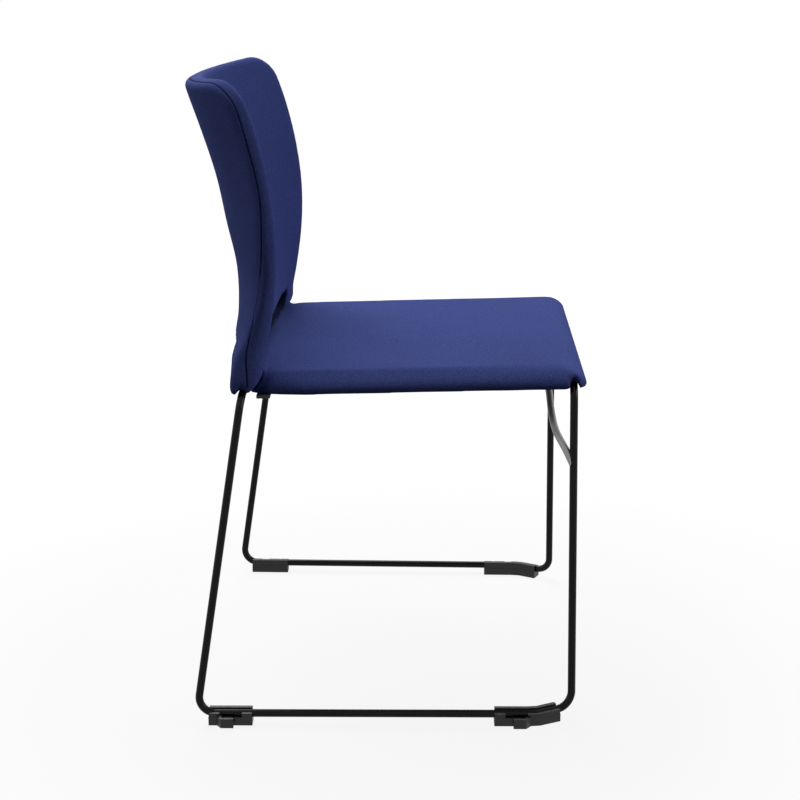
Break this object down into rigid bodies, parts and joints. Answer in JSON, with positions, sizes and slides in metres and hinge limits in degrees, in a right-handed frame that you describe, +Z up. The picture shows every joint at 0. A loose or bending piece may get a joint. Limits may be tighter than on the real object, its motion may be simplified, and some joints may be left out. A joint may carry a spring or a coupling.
{
  "type": "stacking shell chair",
  "caption": "Fully upholstered one-piece shell chair on a bent steel rod sled base, with a hand slot low in the back, an arched front brace and linking glides; it stacks on others like it.",
  "frame": {"origin": "on the floor, at the centre of the outline's bounding box", "axes": "+Z up, the sitter faces -Y, +X at the sitter's left"},
  "size_m": [0.5579, 0.5126, 0.8047],
  "materials": {
    "black_coated_steel": "gloss powder coat",
    "blue_upholstery_fabric": "fine woven wool, matt",
    "seat_foam": "moulded foam",
    "black_plastic": "fine grain",
    "grey_moulded_shell": "smooth moulded",
    "zinc_plated_steel": "zinc plated"
  },
  "bodies": {
    "root": {"right_side_frame": "black_coated_steel", "left_side_frame": "black_coated_steel", "front_cross_rod": "black_coated_steel", "rear_cross_rod": "black_coated_steel", "arch_brace": "black_coated_steel", "seat_and_back_shell": "grey_moulded_shell", "back_front_cover": "blue_upholstery_fabric", "back_rear_cover": "blue_upholstery_fabric", "hand_slot_lining": "blue_upholstery_fabric", "back_foam": "seat_foam", "back_rear_foam": "seat_foam", "heel_foam": "seat_foam", "seat_cover": "blue_upholstery_fabric", "seat_foam": "seat_foam", "front_right_seat_plate": "black_coated_steel", "front_right_seat_screw": "zinc_plated_steel", "front_right_insert": "zinc_plated_steel", "front_right_glide": "black_plastic", "front_left_seat_plate": "black_coated_steel", "front_left_seat_screw": "zinc_plated_steel", "front_left_insert": "zinc_plated_steel", "front_left_glide": "black_plastic", "rear_right_seat_plate": "black_coated_steel", "rear_right_seat_screw": "zinc_plated_steel", "rear_right_insert": "zinc_plated_steel", "rear_right_glide": "black_plastic", "rear_left_seat_plate": "black_coated_steel", "rear_left_seat_screw": "zinc_plated_steel", "rear_left_insert": "zinc_plated_steel", "rear_left_glide": "black_plastic", "under_seat_cover": "black_plastic", "right_stacking_bumper": "black_plastic", "left_stacking_bumper": "black_plastic"}
  },
  "joints": []
}
